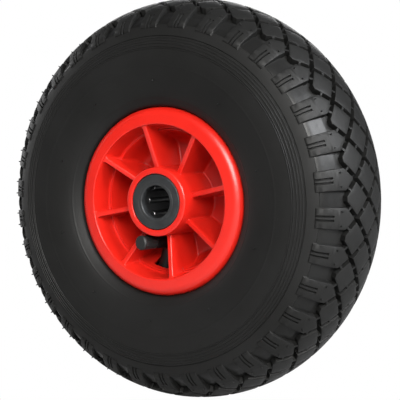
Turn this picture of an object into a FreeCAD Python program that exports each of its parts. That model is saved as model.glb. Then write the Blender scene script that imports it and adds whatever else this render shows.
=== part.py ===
import FreeCAD, Part
import math
import os
import Sketcher

# Pneumatic sack truck wheel, 3.00-4 (260 x 85), moulded one-piece rim, roller bearing hub.
# Millimetres. Origin: wheel centre. Axle axis: Y, valve side towards -Y. +Z up.

os.makedirs("parts", exist_ok=True)
V = FreeCAD.Vector
doc = FreeCAD.newDocument("SackTruckWheel")

# ------------------------------------------------------------------ driving sizes
sheet = doc.addObject("Spreadsheet::Sheet", "Sizes")
rows = [
    # tyre
    ("tyre_radius", 130.0), ("tyre_half_width", 42.5), ("crown_arc", 48.0), ("crown_half", 31.0),
    ("shoulder_radius", 112.0), ("shoulder_half", 37.2), ("widest_radius", 90.0),
    ("tread_repeats", 34), ("tread_phase", 2.3), ("tread_depth", 4.0), ("pocket_depth", 2.2),
    ("groove_width", 2.8), ("lug_half_angle", 2.95), ("column_b", 10.8), ("column_a", 21.2),
    ("corner_cut", 7.2), ("bead_seat_radius", 51.5), ("bead_toe_radius", 50.75),
    ("tube_gap", 0.35), ("tube_wall", 1.5),
    # rim
    ("lip_radius", 59.3), ("lip_half", 36.6), ("lip_thickness", 7.0), ("lip_inner", 48.5),
    ("lip_round", 3.0), ("lip_back_round", 1.8), ("seat_outer", 51.4), ("seat_inner", 50.6), ("seat_edge", 19.0),
    ("well_radius", 47.9), ("well_half", 16.5), ("well_bore", 45.0), ("step_half", 22.2),
    ("step_radius", 47.3), ("web_half", 1.9), ("hub_radius", 21.0), ("hub_half", 37.5),
    ("hub_root", 21.8), ("hub_bore", 16.22), ("cap_seat_radius", 17.0), ("cap_seat_half", 33.2),
    ("rib_count", 8), ("rib_phase", 11.9), ("rib_thickness", 3.0), ("rib_hub_front", 28.0),
    ("rib_rim_front", 35.5), ("hub_round", 1.4),
    ("slot_length", 12.0), ("slot_width", 12.6), ("slot_angle", 102.9), ("slot_offset", 8.0),
    # hub bearing
    ("axle_bore_radius", 10.3), ("end_ring_radius", 16.98), ("end_ring_half", 37.3),
    ("end_ring_inner_half", 33.3), ("bore_chamfer", 0.5), ("face_groove_radius", 12.6),
    ("sleeve_outer", 16.2), ("sleeve_inner", 15.2), ("sleeve_half", 33.1),
    ("cage_outer", 14.4), ("cage_inner", 11.0), ("cage_half", 32.6),
    ("roller_count", 8), ("roller_radius", 2.5), ("roller_half", 28.0), ("roller_pitch", 12.65),
    ("pocket_radius", 2.6), ("pocket_half", 28.4), ("roller_chamfer", 0.35),
    # valve (own axis: x along the run towards the cap, z along the stem)
    ("valve_bend", 6.5), ("valve_stem", 20.8), ("rubber_run_radius", 4.4), ("rubber_end", 17.0),
    ("patch_radius", 8.0), ("patch_inner", 48.05), ("patch_outer", 49.15), ("air_radius", 1.3),
    ("insert_radius", 2.7), ("insert_start", 6.0), ("thread_radius", 3.85), ("thread_start", 18.3),
    ("thread_end", 27.2), ("chamber_start", 9.0), ("chamber_radius", 2.1), ("seat_start", 15.0),
    ("seat_end", 19.0), ("core_bore_radius", 2.65),
    ("valve_cap_radius", 4.6), ("valve_cap_bore", 3.95), ("valve_cap_start", 17.6),
    ("valve_cap_floor", 28.4), ("valve_cap_end", 30.05), ("flute_count", 12), ("flute_radius", 0.55),
    ("core_thread_radius", 2.55), ("core_low_radius", 2.0), ("core_neck_radius", 1.6),
    ("core_start", 13.5), ("core_end", 26.4), ("core_cavity", 1.45), ("core_floor", 15.0),
    ("pin_radius", 0.55), ("pin_tip", 26.9), ("cup_radius", 1.75), ("cup_start", 11.2),
    ("collar_radius", 1.2), ("collar_start", 24.2),
    ("spring_radius", 1.0), ("spring_wire", 0.15), ("spring_turns", 8),
]
for i, (alias, value) in enumerate(rows, start=1):
    sheet.set("A%d" % i, alias)
    sheet.set("B%d" % i, str(value))
    sheet.setAlias("B%d" % i, alias)
doc.recompute()


def size(name):
    return float(sheet.get(name))


class Dim:
    """A length made of sheet cells and plain millimetres: its number and its expression."""

    def __init__(self, *terms):
        self.value = 0.0
        words = []
        for t in terms:
            if isinstance(t, str):
                sign = 1.0
                name = t
                if name.startswith("-"):
                    sign, name = -1.0, name[1:]
                if "*" in name:
                    factor, name = name.split("*")
                    sign *= float(factor)
                self.value += sign * size(name)
                words.append("(%.6f * Sizes.%s)" % (sign, name))
            else:
                self.value += float(t)
                words.append("(%.6f)" % float(t))
        self.expression = " + ".join(words)


def dim(t):
    if isinstance(t, Dim):
        return t
    if isinstance(t, tuple):
        return Dim(*t)
    return Dim(t)


def plane(body, role):
    return [f for f in body.Origin.OriginFeatures if f.Role == role][0]


def polygon(sketch, points):
    """Closed polygon whose corners are held at their sizes from the sketch's origin."""
    pts = [(dim(a), dim(b)) for a, b in points]
    base = sketch.GeometryCount
    n = len(pts)
    for k in range(n):
        a, b = pts[k], pts[(k + 1) % n]
        sketch.addGeometry(Part.LineSegment(V(a[0].value, a[1].value, 0), V(b[0].value, b[1].value, 0)), False)
    for k in range(n):
        sketch.addConstraint(Sketcher.Constraint("Coincident", base + k, 2, base + (k + 1) % n, 1))
    for k in range(n):
        for kind, d, axis in (("DistanceX", pts[k][0], -2), ("DistanceY", pts[k][1], -1)):
            g = base + k
            if abs(d.value) < 1e-9:
                sketch.addConstraint(Sketcher.Constraint("PointOnObject", g, 1, axis))
                continue
            if d.value > 0:
                c = sketch.addConstraint(Sketcher.Constraint(kind, -1, 1, g, 1, d.value))
                sketch.setExpression("Constraints[%d]" % c, d.expression)
            else:
                c = sketch.addConstraint(Sketcher.Constraint(kind, g, 1, -1, 1, -d.value))
                sketch.setExpression("Constraints[%d]" % c, "-1 * (" + d.expression + ")")


def new_body(name):
    body = doc.addObject("PartDesign::Body", name + "_body")
    body.Label = name
    return body


def new_sketch(body, name, role="XY_Plane", offset=None):
    s = body.newObject("Sketcher::SketchObject", name)
    s.AttachmentSupport = [(plane(body, role), "")]
    s.MapMode = "FlatFace"
    if offset is not None:
        s.AttachmentOffset = offset
    return s


def revolved(name, points, axis="V_Axis"):
    body = new_body(name)
    s = new_sketch(body, name + "_profile")
    polygon(s, points)
    r = body.newObject("PartDesign::Revolution", name + "_turned")
    r.Profile = s
    r.ReferenceAxis = (s, [axis])
    r.Angle = 360.0
    doc.recompute()
    s.Visibility = False
    return body, s, r


def circle_edges(shape, radius, along, axis):
    """Names of the full circular edges of that radius at that place on the axis."""
    found = []
    for k, e in enumerate(shape.Edges, start=1):
        c = e.Curve
        if not hasattr(c, "Radius") or abs(c.Radius - radius) > 1e-3:
            continue
        p = c.Center.y if axis == "y" else c.Center.x
        if abs(p - along) < 1e-3:
            found.append("Edge%d" % k)
    return found


def fillet(body, base, edges, radius, name):
    f = body.newObject("PartDesign::Fillet", name)
    f.Base = (base, edges)
    f.Radius = size(radius)
    f.setExpression("Radius", "Sizes." + radius)
    doc.recompute()
    return f


nodes = {}

# ------------------------------------------------------------------ rim, one moulding
half = [
    (("hub_bore"), ("cap_seat_half")), (("cap_seat_radius"), ("cap_seat_half")),
    (("cap_seat_radius"), ("hub_half")), (("hub_radius"), ("hub_half")),
    (("hub_root"), ("web_half")), (("well_bore", -0.4), ("web_half")),
    (("well_bore"), ("step_half", -0.3)), (("step_radius"), ("step_half")),
    (("lip_inner"), ("lip_half", -0.4)), (("lip_inner", 0.4), ("lip_half")),
    (("lip_radius"), ("lip_half")), (("lip_radius"), ("lip_half", "-lip_thickness")),
    (("seat_outer"), ("lip_half", "-lip_thickness")), (("seat_inner"), ("seat_edge")),
    (("well_radius"), ("well_half")),
]


def neg(t):
    """The same size on the other side."""
    t = t if isinstance(t, tuple) else (t,)
    out = []
    for w in t:
        if isinstance(w, str):
            out.append(w[1:] if w.startswith("-") else ("-" + w))
        else:
            out.append(-w)
    return tuple(out)


def tup(t):
    return t if isinstance(t, tuple) else (t,)


profile = [(tup(a), tup(b)) for a, b in half] + [(tup(a), neg(b)) for a, b in reversed(half)]
rim_body, rim_sketch, rim_turned = revolved("rim_moulding", profile)
tip = rim_turned
lip = []
for sgn in (1, -1):
    lip += circle_edges(tip.Shape, size("lip_radius"), sgn * size("lip_half"), "y")
tip = fillet(rim_body, tip, lip, "lip_round", "lip_rounding")
back = []
for sgn in (1, -1):
    back += circle_edges(tip.Shape, size("lip_radius"), sgn * (size("lip_half") - size("lip_thickness")), "y")
tip = fillet(rim_body, tip, back, "lip_back_round", "lip_back_rounding")
hub = []
for sgn in (1, -1):
    hub += circle_edges(tip.Shape, size("hub_radius"), sgn * size("hub_half"), "y")
tip = fillet(rim_body, tip, hub, "hub_round", "hub_rounding")

# eight radial ribs, through the web to both sides
rib_place = FreeCAD.Placement(V(0, 0, 0), FreeCAD.Rotation(V(0, 1, 0), -size("rib_phase")))
rib = new_sketch(rim_body, "rib_profile", "XY_Plane", rib_place)
polygon(rib, [
    (("hub_bore", 2.0), ("-rib_hub_front",)), (("lip_inner", 0.6), ("-rib_rim_front",)),
    (("lip_inner", 0.2), ("-step_half", -1.0)), (("well_bore", 1.3), ("-step_half", 1.4)),
    (("well_bore", 1.3), ("step_half", -1.4)), (("lip_inner", 0.2), ("step_half", 1.0)),
    (("lip_inner", 0.6), ("rib_rim_front",)), (("hub_bore", 2.0), ("rib_hub_front",)),
])
pad = rim_body.newObject("PartDesign::Pad", "rib")
pad.Profile = rib
pad.Length = size("rib_thickness")
pad.setExpression("Length", "Sizes.rib_thickness")
pad.Midplane = True
doc.recompute()
ribs = rim_body.newObject("PartDesign::PolarPattern", "ribs")
ribs.Originals = [pad]
ribs.Axis = (rim_sketch, ["V_Axis"])
ribs.Angle = 360.0
ribs.Occurrences = int(size("rib_count"))
ribs.setExpression("Occurrences", "Sizes.rib_count")
rim_body.Tip = ribs
doc.recompute()

# valve slot through the well wall
slot = doc.addObject("Part::Box", "valve_slot")
slot.setExpression("Length", "Sizes.slot_width")
slot.setExpression("Width", "Sizes.slot_length")
slot.setExpression("Height", "Sizes.well_radius - Sizes.well_bore + 4")
ang = math.radians(-size("slot_angle"))
out = V(math.cos(ang), 0, math.sin(ang))
side = V(math.sin(ang), 0, -math.cos(ang))
corner = out * (size("well_bore") - 2.0) - side * (size("slot_width") / 2.0) \
    + V(0, -size("slot_offset") - size("slot_length") / 2.0, 0)
# box axes: x across the slot, y along the axle, z outwards
slot.Placement = FreeCAD.Placement(corner, FreeCAD.Rotation(side, V(0, 1, 0), out, "ZXY"))
rim = doc.addObject("Part::Cut", "rim_cut")
rim.Base = rim_body
rim.Tool = slot
rim.Label = "rim"
doc.recompute()
nodes["rim"] = rim

# ------------------------------------------------------------------ hub bearing
end_pts = [
    (("axle_bore_radius",), ("end_ring_inner_half",)),
    (("axle_bore_radius",), ("end_ring_half", "-bore_chamfer")),
    (("axle_bore_radius", "bore_chamfer"), ("end_ring_half",)),
    (("face_groove_radius", -0.25), ("end_ring_half",)), (("face_groove_radius",), ("end_ring_half", -0.25)),
    (("face_groove_radius", 0.25), ("end_ring_half",)),
    (("end_ring_radius", -0.5), ("end_ring_half",)), (("end_ring_radius",), ("end_ring_half", -0.5)),
    (("end_ring_radius",), ("end_ring_inner_half",)),
]
b, s, r = revolved("end_ring_rear", end_pts)
nodes["end_ring_rear"] = b
b, s, r = revolved("end_ring_front", [(x, neg(y)) for x, y in end_pts])
nodes["end_ring_front"] = b

b, s, r = revolved("bearing_sleeve", [
    (("sleeve_inner",), ("-sleeve_half",)), (("sleeve_outer", -0.3), ("-sleeve_half",)),
    (("sleeve_outer",), ("-sleeve_half", 0.3)), (("sleeve_outer",), ("sleeve_half", -0.3)),
    (("sleeve_outer", -0.3), ("sleeve_half",)), (("sleeve_inner",), ("sleeve_half",)),
])
nodes["bearing_sleeve"] = b

cage, cage_sketch, cage_turned = revolved("roller_cage", [
    (("cage_inner",), ("-cage_half",)), (("cage_outer",), ("-cage_half",)),
    (("cage_outer",), ("cage_half",)), (("cage_inner",), ("cage_half",)),
])
hole = new_sketch(cage, "roller_pocket_profile")
hole_pts = [
    (("roller_pitch",), ("-pocket_half",)), (("roller_pitch", "pocket_radius"), ("-pocket_half",)),
    (("roller_pitch", "pocket_radius"), ("pocket_half",)), (("roller_pitch",), ("pocket_half",)),
]
polygon(hole, hole_pts)
groove = cage.newObject("PartDesign::Groove", "roller_pocket")
groove.Profile = hole
groove.ReferenceAxis = (hole, ["Edge4"])
groove.Angle = 360.0
doc.recompute()
if cage.Shape.Volume > cage_turned.Shape.Volume - 1.0:
    raise RuntimeError("the roller pocket cuts nothing")
pockets = cage.newObject("PartDesign::PolarPattern", "roller_pockets")
pockets.Originals = [groove]
pockets.Axis = (cage_sketch, ["V_Axis"])
pockets.Angle = 360.0
pockets.Occurrences = int(size("roller_count"))
pockets.setExpression("Occurrences", "Sizes.roller_count")
cage.Tip = pockets
doc.recompute()
nodes["roller_cage"] = cage

for k in range(int(size("roller_count"))):
    name = "roller_%d" % (k + 1)
    b, s, r = revolved(name, [
        ((0.0,), ("-roller_half",)), (("roller_radius", "-roller_chamfer"), ("-roller_half",)),
        (("roller_radius",), ("-roller_half", "roller_chamfer")),
        (("roller_radius",), ("roller_half", "-roller_chamfer")),
        (("roller_radius", "-roller_chamfer"), ("roller_half",)), ((0.0,), ("roller_half",)),
    ])
    a = k * 2.0 * math.pi / size("roller_count")
    b.Placement = FreeCAD.Placement(
        V(size("roller_pitch") * math.cos(a), 0, size("roller_pitch") * math.sin(a)),
        FreeCAD.Rotation(V(0, 1, 0), -math.degrees(a)))
    nodes[name] = b

# ------------------------------------------------------------------ valve
elbow = V(-6.6, -8.3, -26.9)
cap_end = V(-11.1, -38.0, -26.2)
stem_foot = V(45.0 * math.cos(math.radians(-104.0)), -8.0, 45.0 * math.sin(math.radians(-104.0)))
run = (cap_end - elbow).normalize()
up = elbow - stem_foot
up = (up - run * up.dot(run)).normalize()
valve_place = FreeCAD.Placement(elbow, FreeCAD.Rotation(run, V(0, 0, 0), up, "XZY"))


def on_valve(body):
    body.Placement = valve_place
    return body


b, s, r = revolved("valve_insert", [
    (("insert_start",), ("air_radius",)), (("insert_start",), ("insert_radius",)),
    (("thread_start",), ("insert_radius",)), (("thread_start",), ("thread_radius", -0.4)),
    (("thread_start", 0.4), ("thread_radius",)), (("thread_end", -0.4), ("thread_radius",)),
    (("thread_end",), ("thread_radius", -0.4)), (("thread_end",), ("core_bore_radius",)),
    (("seat_end",), ("core_bore_radius",)), (("seat_start",), ("chamber_radius",)),
    (("chamber_start",), ("chamber_radius",)), (("chamber_start",), ("air_radius",)),
], "H_Axis")
nodes["valve_insert"] = on_valve(b)

b, s, r = revolved("core_body", [
    (("core_start",), ("pin_radius", 0.2)), (("core_start",), ("core_low_radius", -0.3)),
    (("core_start", 0.3), ("core_low_radius",)), (("seat_start", 0.6), ("core_low_radius",)),
    (("seat_start", 0.6), ("core_neck_radius",)), (("seat_start", 3.4), ("core_neck_radius",)),
    (("seat_start", 3.4), ("core_low_radius",)), (("core_end", -4.4), ("core_low_radius",)),
    (("core_end", -4.0), ("core_thread_radius",)), (("core_end", -0.3), ("core_thread_radius",)),
    (("core_end",), ("core_thread_radius", -0.3)), (("core_end",), ("core_cavity",)),
    (("core_floor",), ("core_cavity",)), (("core_floor",), ("pin_radius", 0.2)),
], "H_Axis")
nodes["core_body"] = on_valve(b)

b, s, r = revolved("core_seal", [
    (("seat_start", 0.65), ("core_neck_radius", 0.02)), (("seat_start", 3.35), ("core_neck_radius", 0.02)),
    (("seat_start", 3.35), ("chamber_radius", 0.38)), (("seat_start", 0.65), ("chamber_radius", 0.02)),
], "H_Axis")
nodes["core_seal"] = on_valve(b)

b, s, r = revolved("core_pin", [
    (("cup_start",), (0.0,)), (("cup_start",), ("cup_radius", -0.3)), (("cup_start", 0.3), ("cup_radius",)),
    (("core_start", -0.25), ("cup_radius",)), (("core_start", -0.25), ("cup_radius", -0.2)),
    (("cup_start", 0.8), ("cup_radius", -0.2)), (("cup_start", 0.8), ("pin_radius",)),
    (("collar_start",), ("pin_radius",)), (("collar_start",), ("collar_radius",)),
    (("collar_start", 0.6), ("collar_radius",)), (("collar_start", 0.6), ("pin_radius",)),
    (("pin_tip", -0.2), ("pin_radius",)), (("pin_tip",), ("pin_radius", -0.2)), (("pin_tip",), (0.0,)),
], "H_Axis")
nodes["core_pin"] = on_valve(b)

b, s, r = revolved("core_cup_seal", [
    (("cup_start", 0.82), ("pin_radius", 0.02)), (("cup_start", 0.82), ("cup_radius", -0.22)),
    (("core_start", -0.05), ("cup_radius", -0.22)), (("core_start", -0.05), ("pin_radius", 0.02)),
], "H_Axis")
nodes["core_cup_seal"] = on_valve(b)

cap, cap_sketch, cap_turned = revolved("valve_cap", [
    (("valve_cap_start",), ("valve_cap_bore",)), (("valve_cap_start",), ("valve_cap_radius", -0.2)),
    (("valve_cap_start", 0.2), ("valve_cap_radius",)), (("valve_cap_end", -0.8), ("valve_cap_radius",)),
    (("valve_cap_end",), ("valve_cap_radius", -0.8)), (("valve_cap_end",), (0.0,)),
    (("valve_cap_floor",), (0.0,)), (("valve_cap_floor",), ("valve_cap_bore",)),
], "H_Axis")
flute = new_sketch(cap, "flute_profile")
polygon(flute, [
    (("valve_cap_start", 0.9), ("valve_cap_radius", 0.3)),
    (("valve_cap_end", -1.8), ("valve_cap_radius", 0.3)),
    (("valve_cap_end", -1.8), ("valve_cap_radius", 0.3, "-flute_radius")),
    (("valve_cap_start", 0.9), ("valve_cap_radius", 0.3, "-flute_radius")),
])
fl = cap.newObject("PartDesign::Groove", "flute")
fl.Profile = flute
fl.ReferenceAxis = (flute, ["Edge1"])
fl.Angle = 360.0
doc.recompute()
if cap.Shape.Volume > cap_turned.Shape.Volume - 0.05:
    raise RuntimeError("the flute cuts nothing")
fls = cap.newObject("PartDesign::PolarPattern", "flutes")
fls.Originals = [fl]
fls.Axis = (cap_sketch, ["H_Axis"])
fls.Angle = 360.0
fls.Occurrences = int(size("flute_count"))
fls.setExpression("Occurrences", "Sizes.flute_count")
cap.Tip = fls
doc.recompute()
nodes["valve_cap"] = on_valve(cap)

# spring round the pin
coil_a = size("core_floor") + size("spring_wire") + 0.05
coil_b = size("collar_start") - size("spring_wire") - 0.05
helix = Part.makeHelix((coil_b - coil_a) / size("spring_turns"), coil_b - coil_a, size("spring_radius"))
ring = Part.Wire([Part.makeCircle(size("spring_wire"), V(size("spring_radius"), 0, 0), V(0, 1, 0))])
coil = Part.Wire(helix.Edges).makePipeShell([ring], True, True)
coil.rotate(V(0, 0, 0), V(0, 1, 0), 90)
coil.translate(V(coil_a, 0, 0))
spring = doc.addObject("Part::Feature", "core_spring_coil")
spring.Label = "core_spring"
spring.Shape = coil
spring.Placement = valve_place.multiply(coil.Placement)
nodes["core_spring"] = spring

# rubber valve foot: bent stem and the patch that is cured onto the tube
bend = size("valve_bend")


def bent_path(foot, head):
    mid = math.sqrt(0.5) * bend
    return Part.Wire([
        Part.LineSegment(V(0, 0, -foot), V(0, 0, -bend)).toShape(),
        Part.Arc(V(0, 0, -bend), V(bend - mid, 0, mid - bend), V(bend, 0, 0)).toShape(),
        Part.LineSegment(V(bend, 0, 0), V(head, 0, 0)).toShape()])


def pipe(radius, foot, head):
    ring = Part.Wire([Part.makeCircle(radius, V(0, 0, -foot), V(0, 0, 1))])
    return bent_path(foot, head).makePipeShell([ring], True, True)


foot = size("valve_stem")
rubber = pipe(size("rubber_run_radius"), foot, size("rubber_end"))
base_cone = Part.makeCone(size("rubber_run_radius") + 0.55, size("rubber_run_radius"), 7.0, V(0, 0, -foot), V(0, 0, 1))
rubber = rubber.fuse(base_cone)
rubber.Placement = valve_place
foot_point = valve_place.multVec(V(0, 0, -foot))
down = valve_place.Rotation.multVec(V(0, 0, -1))
shell = Part.makeCylinder(size("patch_outer"), 60, V(0, -38, 0), V(0, 1, 0)).cut(
    Part.makeCylinder(size("patch_inner"), 60, V(0, -38, 0), V(0, 1, 0)))
patch = shell.common(Part.makeCylinder(size("patch_radius"), 16, foot_point - down * 6.0, down))
inner = Part.makeCylinder(size("patch_inner") + 0.3, 60, V(0, -38, 0), V(0, 1, 0))
stem = rubber.common(inner)
rubber = stem.fuse(patch)
air = pipe(size("air_radius"), foot + 4.0, size("insert_start"))
room = Part.makeCylinder(size("insert_radius") + 0.02, size("rubber_end") - size("insert_start") + 1.0,
                         V(size("insert_start") - 0.02, 0, 0), V(1, 0, 0))
air = air.fuse(room)
air.Placement = valve_place
rubber = rubber.cut(air).removeSplitter()
valve_foot = doc.addObject("Part::Feature", "valve_rubber")
valve_foot.Label = "valve_stem"
valve_foot.Shape = rubber.Solids[0]
valve_foot.Placement = FreeCAD.Placement()
nodes["valve_stem"] = valve_foot

# ------------------------------------------------------------------ tyre
RC = size("tyre_radius") - size("crown_arc")
ARC = size("crown_arc")


def on_crown(t, lift=0.0):
    """Point of the crown at arc length t from the middle, lifted along its normal."""
    f = t / ARC
    return V(RC + (ARC + lift) * math.cos(f), (ARC + lift) * math.sin(f), 0)


def crown_at(y, lift=0.0):
    return on_crown(ARC * math.asin(y / ARC), lift)


def mirrored(p):
    return V(p.x, -p.y, p.z)


inner_half = [(52.4, 18.7), (57.0, 20.6), (61.5, 26.6), (66.0, 32.2), (72.0, 35.6), (81.0, 38.1), (90.0, 38.8),
              (100.0, 37.9), (107.5, 34.6), (114.0, 27.6), (118.6, 17.5), (121.0, 7.5)]
k = size("tyre_half_width") / 42.5
bead_in = size("lip_half") - size("lip_thickness") - 0.1
lip_r = size("lip_radius")
rnd = size("lip_back_round")


def seg(a, b):
    return Part.LineSegment(a, b).toShape()


def arc(a, m, b):
    return Part.Arc(a, m, b).toShape()


def outer_half():
    """Outside of one half (y > 0) from the crown's middle to the bead toe."""
    c0, c1 = V(size("tyre_radius"), 0, 0), crown_at(size("crown_half"))
    sh = V(size("shoulder_radius"), size("shoulder_half"), 0)
    wide = V(size("widest_radius"), size("tyre_half_width"), 0)
    low = V(66.0, 38.3 * k, 0)
    edge = V(lip_r + 1.1, 34.3, 0)
    e2 = V(lip_r + 0.12, 32.6, 0)
    e3 = V(lip_r + 0.12, bead_in + 0.1 + rnd, 0)
    q = math.sqrt(0.5) * (rnd + 0.12)
    em = V(lip_r - rnd + q, bead_in + 0.1 + rnd - q, 0)
    e4 = V(lip_r - rnd, bead_in - 0.02, 0)
    heel = V(size("bead_seat_radius"), bead_in - 0.02, 0)
    toe = V(size("bead_toe_radius"), 19.9, 0)
    return [("arc", c0, crown_at(size("crown_half") * 0.52), c1), ("seg", c1, sh), ("arc", sh, wide, low),
            ("seg", low, edge), ("seg", edge, e2), ("seg", e2, e3), ("arc", e3, em, e4), ("seg", e4, heel),
            ("seg", heel, toe)]


def wall_edges(items, flip):
    edges = []
    for it in items:
        pts = [mirrored(p) if flip else p for p in it[1:]]
        edges.append(arc(*pts) if it[0] == "arc" else seg(*pts))
    return edges


def tyre_profile():
    up_side = outer_half()
    edges = wall_edges(up_side, False) + wall_edges(up_side, True)
    pts = [V(a, b * k, 0) for a, b in inner_half]
    chain = [up_side[-1][-1]] + pts + [mirrored(p) for p in reversed(pts)] + [mirrored(up_side[-1][-1])]
    edges += [seg(chain[i], chain[i + 1]) for i in range(len(chain) - 1)]
    return Part.Face(Part.Wire(Part.__sortEdges__(edges)))


repeats = int(size("tread_repeats"))
pitch = 360.0 / repeats
axis = V(0, 1, 0)


def turned(face, start, angle):
    """Revolve by angle, from start; angles count from +X towards +Z."""
    f = face.copy()
    f.rotate(V(0, 0, 0), axis, -start)
    return f.revolve(V(0, 0, 0), axis, -angle)


def band_profile():
    """The layer the tread is cut from: between the groove floor and clear of the outside."""
    dp, pk = size("tread_depth"), size("pocket_depth")
    c1 = crown_at(size("crown_half"))
    sh = V(size("shoulder_radius"), size("shoulder_half"), 0)
    n = V(sh.y - c1.y, c1.x - sh.x, 0).normalize()
    t_end = ARC * math.asin(30.4 / ARC)
    a0 = on_crown(t_end, -dp)
    a1 = on_crown(t_end, -pk)
    a2 = c1 - n * pk
    a3 = sh - n * pk
    a4 = V(a3.x - 2.1, a3.y + 0.85, 0)
    a5 = V(a4.x + 1.9, a4.y + 3.9, 0)
    outer = [V(114.5, 40.0, 0), V(122.5, 33.5, 0), V(128.5, 22.5, 0), V(132.4, 11.0, 0), V(133.6, 0, 0)]
    side = [a0, a1, a2, a3, a4, a5] + outer
    pts = side + [mirrored(p) for p in reversed(side[:-1])]
    edges = [arc(mirrored(a0), on_crown(0, -dp), a0)]
    edges += [seg(pts[i], pts[i + 1]) for i in range(len(pts) - 1)]
    return Part.Face(Part.Wire(Part.__sortEdges__(edges)))


def prism(origin, tangent, normal, corners, angle, low, high):
    """Upright block: corners are (across, along the tangent), across runs round the tyre."""
    across = V(0, 0, 1)
    pts = [origin + across * a + tangent * b + normal * low for a, b in corners]
    wire = Part.makePolygon(pts + [pts[0]])
    solid = Part.Face(wire).extrude(normal * (high - low))
    solid.rotate(V(0, 0, 0), axis, -angle)
    return solid


def diamond(column, inner_gap, outer_gap, angle, cut=None):
    p = on_crown(column)
    f = column / ARC
    tangent = V(-math.sin(f), math.cos(f), 0)
    normal = V(math.cos(f), math.sin(f), 0)
    w = size("groove_width") / 2.0
    q = p.x * math.radians(pitch / 2.0)
    d_in = inner_gap * q / math.hypot(inner_gap, q)
    d_out = outer_gap * q / math.hypot(outer_gap, q)
    a_in, a_out = inner_gap * (d_in - w) / d_in, outer_gap * (d_out - w) / d_out
    qq = q * ((d_in - w) / d_in + (d_out - w) / d_out) / 2.0
    if cut is None:
        corners = [(0, -a_in), (qq, 0), (0, a_out), (-qq, 0)]
    else:
        b = qq * (1.0 - cut / a_out)
        corners = [(0, -a_in), (qq, 0), (b, cut), (-b, cut), (-qq, 0)]
    return prism(p, tangent, normal, corners, angle, -6.0, 6.0)


def lug(angle):
    """Shoulder lug: a straight block whose inner end is a point between two diamonds."""
    col_a, w = size("column_a"), size("groove_width") / 2.0
    gap = size("column_a") - size("column_b")
    half_a = pitch / 2.0
    q = on_crown(col_a).x * math.radians(half_a)
    tip_t = col_a + w / math.sin(math.atan2(q, gap))
    corner_t = tip_t + gap * size("lug_half_angle") / half_a
    c1 = crown_at(size("crown_half"))
    sh = V(size("shoulder_radius"), size("shoulder_half"), 0)
    tangent = (sh - c1).normalize()
    normal = V(tangent.y, -tangent.x, 0)
    tip, corner = on_crown(tip_t), on_crown(corner_t)
    lh = math.radians(size("lug_half_angle"))
    corners = [(0, (tip - c1).dot(tangent)), (corner.x * lh, (corner - c1).dot(tangent)),
               (109.0 * lh, 16.0), (-109.0 * lh, 16.0), (-corner.x * lh, (corner - c1).dot(tangent))]
    return prism(c1, tangent, normal, corners, angle, -9.0, 7.0)


def other_side(shape):
    return shape.mirror(V(0, 0, 0), V(0, 1, 0))


blocks = [diamond(0.0, size("column_b"), size("column_b"), 0.0)]
d_ab = size("column_a") - size("column_b")
one_side = [diamond(size("column_a"), d_ab, d_ab, 0.0, size("corner_cut"))]
for a in (-pitch / 2.0, pitch / 2.0):
    one_side.append(diamond(size("column_b"), size("column_b"), d_ab, a))
    one_side.append(lug(a))
blocks += one_side + [other_side(s) for s in one_side]

carcass = turned(tyre_profile(), -pitch / 2.0, pitch)
band = turned(band_profile(), -pitch / 2.0, pitch)
waste = band.cut(blocks)
sector = carcass.cut(waste)
if len(sector.Solids) != 1 or not sector.isValid():
    raise RuntimeError("the tread repeat isn't one valid solid")
sector = sector.Solids[0]

half_rad = math.radians(pitch / 2.0)
skin = []
for f in sector.Faces:
    ends = [abs(math.atan2(v.Point.z, v.Point.x)) for v in f.Vertexes]
    same = len(set(1 if math.atan2(v.Point.z, v.Point.x) > 0 else -1 for v in f.Vertexes)) == 1
    if same and all(abs(e - half_rad) < 1e-6 for e in ends) and f.Surface.TypeId == "Part::GeomPlane":
        continue
    skin.append(f)
all_faces = []
for i in range(repeats):
    for f in skin:
        g = f.copy()
        g.rotate(V(0, 0, 0), axis, -(size("tread_phase") + i * pitch))
        all_faces.append(g)
sewn = Part.makeCompound(all_faces)
sewn.sewShape()
closed = [s for s in sewn.Shells if s.isClosed()]
if len(closed) != 1:
    raise RuntimeError("the tyre's skin doesn't close: %d shells" % len(sewn.Shells))
tyre_solid = Part.Solid(closed[0])
if tyre_solid.Volume < 0:
    tyre_solid.reverse()
tyre = doc.addObject("Part::Feature", "tyre_moulding")
tyre.Label = "tyre"
tyre.Shape = tyre_solid
tyre.Placement = FreeCAD.Placement()
nodes["tyre"] = tyre

# ------------------------------------------------------------------ inner tube


def offset(points, d):
    """Closed polygon moved inwards by d (points run anticlockwise)."""
    n = len(points)
    res = []
    for i in range(n):
        p0, p1, p2 = points[i - 1], points[i], points[(i + 1) % n]
        u = (p1 - p0).normalize()
        w = (p2 - p1).normalize()
        n1, n2 = V(-u.y, u.x, 0), V(-w.y, w.x, 0)
        m = (n1 + n2).normalize()
        res.append(p1 + m * (d / m.dot(n1)))
    return res


lower = [V(48.95, 15.4 * k, 0), V(51.4, 17.6 * k, 0)]
upper = [V(a, b * k, 0) for a, b in inner_half[1:]]
ring_pts = lower + upper
ring_pts = [mirrored(p) for p in ring_pts] + [p for p in reversed(ring_pts)]
outside = offset(ring_pts, size("tube_gap"))
inside = offset(outside, size("tube_wall"))


def closed_face(points):
    return Part.Face(Part.makePolygon(points + [points[0]]))


tube_shape = closed_face(outside).revolve(V(0, 0, 0), axis, 360).cut(
    closed_face(inside).revolve(V(0, 0, 0), axis, 360))
drill = Part.makeCylinder(size("air_radius"), 9.0, foot_point - down * 2.0, down)
tube_shape = tube_shape.cut(drill)
tube = doc.addObject("Part::Feature", "tube_moulding")
tube.Label = "inner_tube"
tube.Shape = tube_shape.Solids[0]
tube.Placement = FreeCAD.Placement()
nodes["inner_tube"] = tube

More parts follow.
